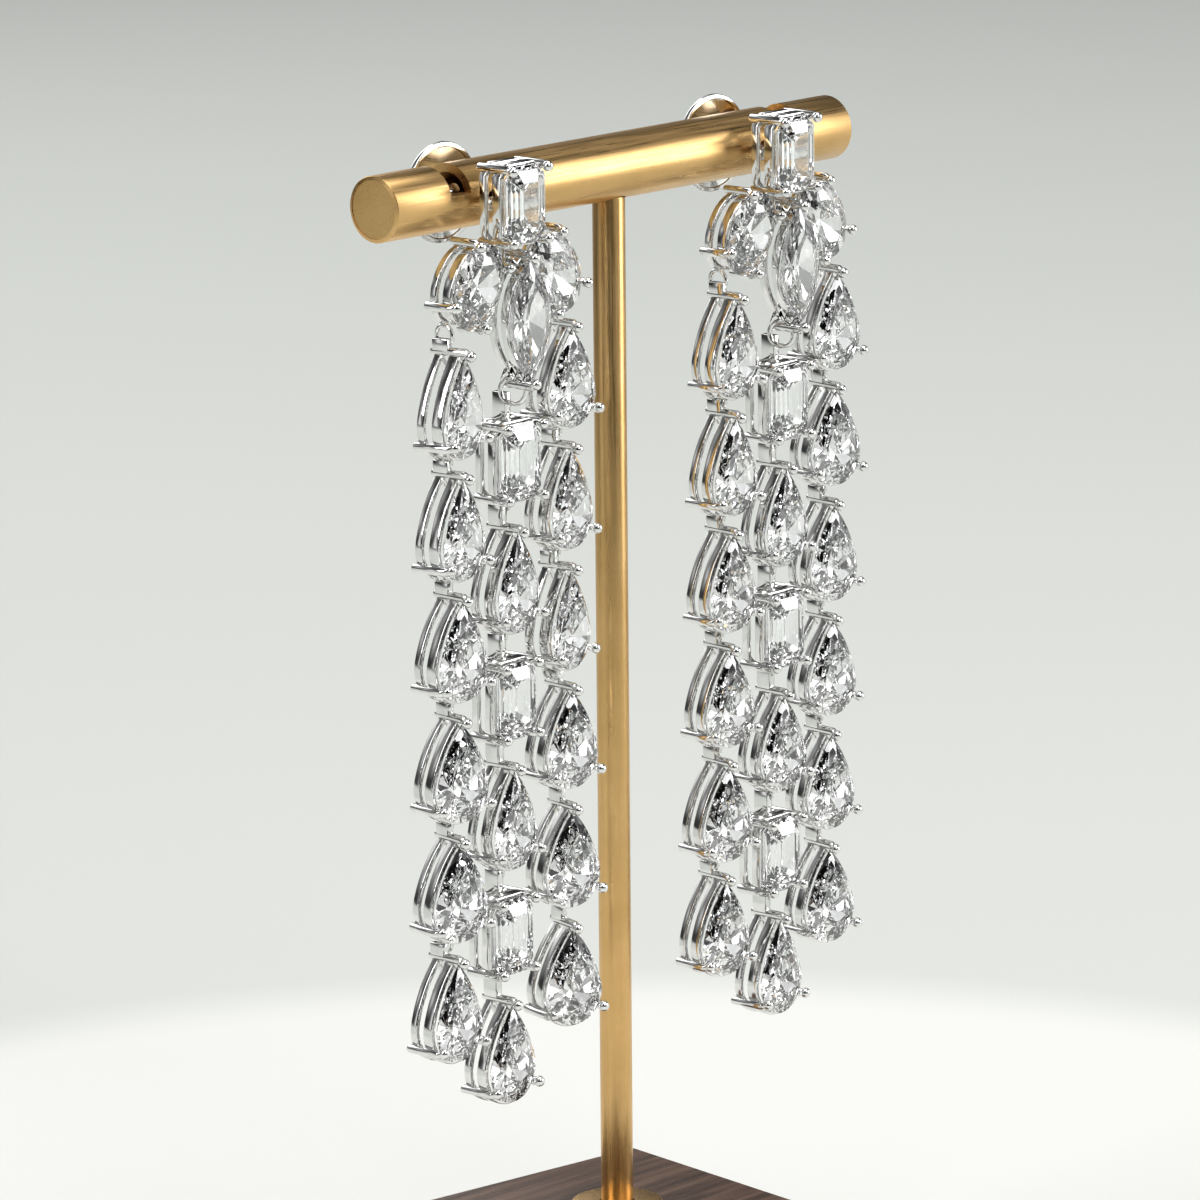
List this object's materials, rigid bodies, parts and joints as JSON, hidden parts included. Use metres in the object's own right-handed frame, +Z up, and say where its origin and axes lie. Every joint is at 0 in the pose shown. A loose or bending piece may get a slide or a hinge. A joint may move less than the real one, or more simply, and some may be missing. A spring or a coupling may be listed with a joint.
{
  "type": "chandelier earrings on t-bar stand",
  "caption": "Chandelier earrings of diamond strands in open white gold baskets, hung as a pair on a gold T-bar stand with a wooden base.",
  "frame": {"origin": "centre of the underside of the wooden base, on the axis of the post", "axes": "+Z up along the post, +X along the bar, -Y the way that the stones face"},
  "size_m": [0.0611, 0.0318, 0.1149],
  "materials": {
    "walnut": "dark oiled walnut, satin, open grain",
    "satin_gold": "satin gold, finely brushed along the rod",
    "white_gold": "polished white gold",
    "diamond": "clear faceted diamond"
  },
  "bodies": {
    "root": {"base_block": "walnut", "post_flange": "satin_gold", "post": "satin_gold", "t_bar": "satin_gold", "left_cluster_frame": "white_gold", "left_disc_nut": "white_gold", "left_strand_left": "white_gold", "left_strand_centre": "white_gold", "left_strand_right": "white_gold", "left_emerald_top": "diamond", "left_oval_left": "diamond", "left_oval_right": "diamond", "left_marquise": "diamond", "left_pear_left_1": "diamond", "left_pear_left_2": "diamond", "left_pear_left_3": "diamond", "left_pear_left_4": "diamond", "left_pear_left_5": "diamond", "left_pear_left_6": "diamond", "left_emerald_centre_1": "diamond", "left_pear_centre_2": "diamond", "left_emerald_centre_3": "diamond", "left_pear_centre_4": "diamond", "left_emerald_centre_5": "diamond", "left_pear_centre_6": "diamond", "left_pear_right_1": "diamond", "left_pear_right_2": "diamond", "left_pear_right_3": "diamond", "left_pear_right_4": "diamond", "left_pear_right_5": "diamond", "left_pear_right_6": "diamond", "right_cluster_frame": "white_gold", "right_disc_nut": "white_gold", "right_strand_left": "white_gold", "right_strand_centre": "white_gold", "right_strand_right": "white_gold", "right_emerald_top": "diamond", "right_oval_left": "diamond", "right_oval_right": "diamond", "right_marquise": "diamond", "right_pear_left_1": "diamond", "right_pear_left_2": "diamond", "right_pear_left_3": "diamond", "right_pear_left_4": "diamond", "right_pear_left_5": "diamond", "right_pear_left_6": "diamond", "right_emerald_centre_1": "diamond", "right_pear_centre_2": "diamond", "right_emerald_centre_3": "diamond", "right_pear_centre_4": "diamond", "right_emerald_centre_5": "diamond", "right_pear_centre_6": "diamond", "right_pear_right_1": "diamond", "right_pear_right_2": "diamond", "right_pear_right_3": "diamond", "right_pear_right_4": "diamond", "right_pear_right_5": "diamond", "right_pear_right_6": "diamond"}
  },
  "joints": []
}
